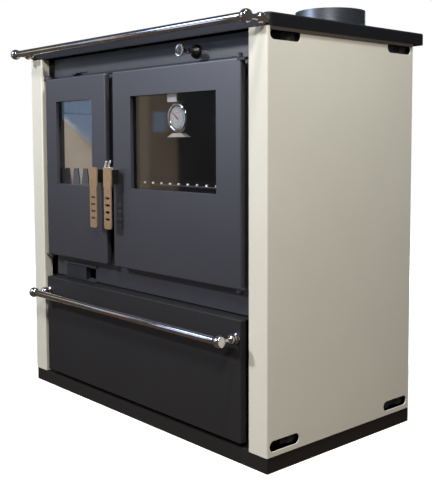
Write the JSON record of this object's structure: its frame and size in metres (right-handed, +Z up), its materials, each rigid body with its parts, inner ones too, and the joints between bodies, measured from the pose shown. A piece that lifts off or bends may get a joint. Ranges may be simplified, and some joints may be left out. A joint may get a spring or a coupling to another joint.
{
  "type": "wood cookstove",
  "caption": "Freestanding wood-burning cookstove with a glazed firebox door beside a glazed oven door, a wood drawer, a steel hob with a ring lid, a flue collar and two chrome rails.",
  "frame": {"origin": "on the floor, under the centre of the stove's bounding box", "axes": "+X to the stove's right as seen from its front, +Y to its back, +Z up"},
  "size_m": [0.856, 0.5404, 0.9],
  "materials": {
    "cream_paint": "smooth semi-gloss cream paint on sheet steel",
    "dark_paint": "satin dark grey heat-proof paint",
    "black_paint": "matt black heat-proof paint",
    "cast_iron": "matt grey cast iron",
    "sheet_steel": "dark brushed sheet steel",
    "chrome": "polished chrome",
    "satin_bronze": "satin champagne bronze",
    "black_plastic": "black heat-proof moulding",
    "fireclay": "rough beige fireclay",
    "rope": "grey braided sealing rope",
    "glass": "clear ceramic glass",
    "dial_white": "white dial card",
    "needle_red": "red painted pointer"
  },
  "bodies": {
    "body": {"plinth": "black_paint", "right_side_casing": "cream_paint", "left_side_casing": "cream_paint", "back_panel": "black_paint", "hob_frame": "black_paint", "hotplate": "cast_iron", "hotplate_lid": "cast_iron", "flue_collar": "sheet_steel", "inner_body": "sheet_steel", "face_plate": "dark_paint", "firebox_divider": "sheet_steel", "grate_shelf": "cast_iron", "fire_grate": "cast_iron", "firebrick_left": "fireclay", "firebrick_right": "fireclay", "firebrick_back": "fireclay", "log_guard": "cast_iron", "ash_shelf": "sheet_steel", "ash_pan": "sheet_steel", "oven_liner": "black_paint", "oven_rack": "chrome", "firebox_hinge_pin_top": "black_paint", "firebox_hinge_pin_bottom": "black_paint", "oven_hinge_pin_top": "black_paint", "oven_hinge_pin_bottom": "black_paint", "latch_keeper": "chrome", "hob_rail_post_left": "chrome", "hob_rail_post_right": "chrome", "hob_rail": "chrome", "damper_bush": "black_plastic"},
    "firebox_door": {"firebox_door": "dark_paint", "firebox_glass": "glass", "firebox_glass_frame": "black_paint", "firebox_gasket": "rope"},
    "firebox_handle": {"firebox_handle": "satin_bronze", "firebox_handle_block": "black_plastic", "firebox_latch_cam": "sheet_steel"},
    "oven_door": {"oven_door": "dark_paint", "oven_glass": "glass", "oven_glass_frame": "black_paint", "oven_gasket": "rope", "thermometer_case": "chrome", "thermometer_dial": "dial_white", "thermometer_needle": "needle_red", "thermometer_glass": "glass", "thermometer_hanger": "chrome"},
    "oven_handle": {"oven_handle": "satin_bronze", "oven_handle_block": "black_plastic", "oven_latch_cam": "sheet_steel"},
    "drawer": {"drawer_front": "dark_paint", "drawer_bin": "sheet_steel", "drawer_rail_post_left": "chrome", "drawer_rail_post_right": "chrome", "drawer_rail": "chrome"},
    "air_slide": {"air_slide": "dark_paint"},
    "air_shutter": {"air_shutter": "cast_iron"},
    "damper": {"damper_rod": "chrome", "damper_plate": "sheet_steel"}
  },
  "joints": [
    {"name": "firebox_door_hinge", "type": "hinge", "parent": "body", "child": "firebox_door", "pos_m": [-0.3465, -0.20375, 0.55525], "axis": [0, 0, -1], "range_deg": [0, 130]},
    {"name": "firebox_handle_pivot", "type": "hinge", "parent": "firebox_door", "child": "firebox_handle", "pos_m": [-0.1073, -0.21075, 0.541], "axis": [0, 1, 0], "range_deg": [0, 60]},
    {"name": "oven_door_hinge", "type": "hinge", "parent": "body", "child": "oven_door", "pos_m": [0.3465, -0.20375, 0.55525], "axis": [0, 0, 1], "range_deg": [0, 130]},
    {"name": "oven_handle_pivot", "type": "hinge", "parent": "oven_door", "child": "oven_handle", "pos_m": [-0.0504, -0.21075, 0.541], "axis": [0, -1, 0], "range_deg": [0, 60]},
    {"name": "drawer_slide", "type": "slide", "parent": "body", "child": "drawer", "axis": [0, -1, 0], "range_m": [0, 0.3]},
    {"name": "air_slide_travel", "type": "slide", "parent": "body", "child": "air_slide", "axis": [1, 0, 0], "range_m": [0, 0.03]},
    {"name": "air_shutter_travel", "type": "slide", "parent": "body", "child": "air_shutter", "axis": [1, 0, 0], "range_m": [0, 0.034]},
    {"name": "damper_travel", "type": "slide", "parent": "body", "child": "damper", "axis": [0, -1, 0], "range_m": [0, 0.05]}
  ]
}
